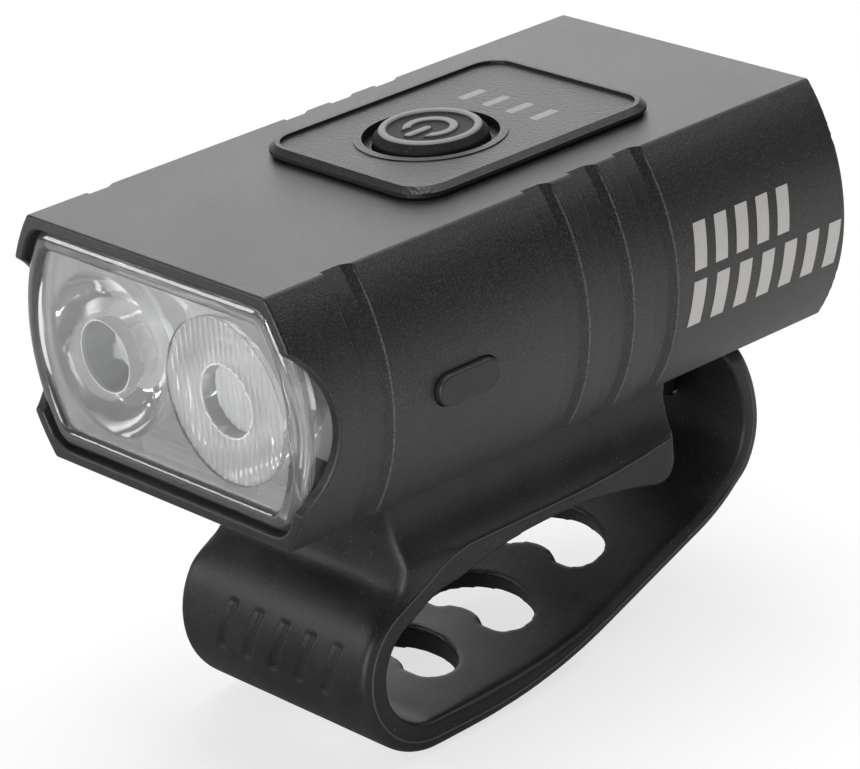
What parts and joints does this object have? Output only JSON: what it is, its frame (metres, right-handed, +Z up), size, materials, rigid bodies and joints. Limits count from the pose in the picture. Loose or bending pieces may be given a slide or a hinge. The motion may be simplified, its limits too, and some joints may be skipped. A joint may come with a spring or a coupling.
{
  "type": "bicycle headlight",
  "caption": "Small box-shaped bicycle headlight with a clear front lens, a power button and charge lights on top, and a perforated silicone strap that loops round a handlebar.",
  "frame": {"origin": "where the top of the handlebar bears on the strap's saddle, midway across the strap", "axes": "+X along the handlebar, -Y the way the beam shines, +Z up"},
  "size_m": [0.0462, 0.0741, 0.058],
  "materials": {
    "black_anodised": "matte black anodised",
    "clear_lens": "clear moulded polycarbonate",
    "black_silicone": "matte silicone",
    "black_plastic": "fine moulded texture",
    "button_black": "satin rubber",
    "window_smoke": "smoked clear light guide",
    "white_board": "white solder mask on aluminium",
    "green_board": "glass epoxy with green mask",
    "led_phosphor": "yellow phosphor under a clear dome",
    "steel": "plated steel",
    "battery_foil": "laminated foil pouch",
    "black_foam": "foam",
    "wire_red": "insulated wire",
    "chip_black": "moulded package"
  },
  "bodies": {
    "light": {"housing": "black_anodised", "front_lens": "clear_lens", "lens_gasket": "black_silicone", "led_board": "white_board", "led_left": "led_phosphor", "led_right": "led_phosphor", "led_board_screws": "steel", "inner_frame": "black_plastic", "battery_cell": "battery_foil", "battery_pad": "black_foam", "battery_leads": "wire_red", "led_leads": "wire_red", "control_board": "green_board", "control_board_screws": "steel", "charge_chip": "chip_black", "driver_inductor": "chip_black", "indicator_leds": "led_phosphor", "charging_socket": "steel", "switch_body": "chip_black", "top_panel": "black_plastic", "panel_seal": "black_silicone", "indicator_window_1": "window_smoke", "indicator_window_2": "window_smoke", "indicator_window_3": "window_smoke", "indicator_window_4": "window_smoke", "rear_cap": "black_plastic", "rear_gasket": "black_silicone", "rear_cap_screws": "steel", "mount_plate": "black_plastic", "mount_screws": "steel", "strap_saddle": "black_silicone"},
    "button": {"power_button": "button_black", "switch_plunger": "black_plastic"},
    "port_flap": {"port_cover": "black_silicone"},
    "strap": {"strap_band": "black_silicone"},
    "strap_end": {"strap_tail": "black_silicone"}
  },
  "joints": [
    {"name": "power_press", "type": "slide", "parent": "light", "child": "button", "axis": [0, 0, -1], "range_m": [0, 0.0005], "stiffness_N_per_m": 3000},
    {"name": "port_cover_open", "type": "hinge", "parent": "light", "child": "port_flap", "pos_m": [0, 0.03635, 0.03377], "axis": [1, 0, 0], "range_deg": [0, 100], "stiffness_Nm_per_rad": 0.002},
    {"name": "strap_open", "type": "hinge", "parent": "light", "child": "strap", "pos_m": [0, -0.0264, -0.00973], "axis": [-1, 0, 0], "range_deg": [0, 35], "stiffness_Nm_per_rad": 0.2},
    {"name": "strap_unhook", "type": "hinge", "parent": "strap", "child": "strap_end", "pos_m": [0, 0.02734, -0.00638], "axis": [-1, 0, 0], "range_deg": [0, 100], "stiffness_Nm_per_rad": 0.03}
  ],
  "couplings": [
    {"joint": "strap_unhook", "follows": "strap_open", "ratio": 2.85}
  ]
}
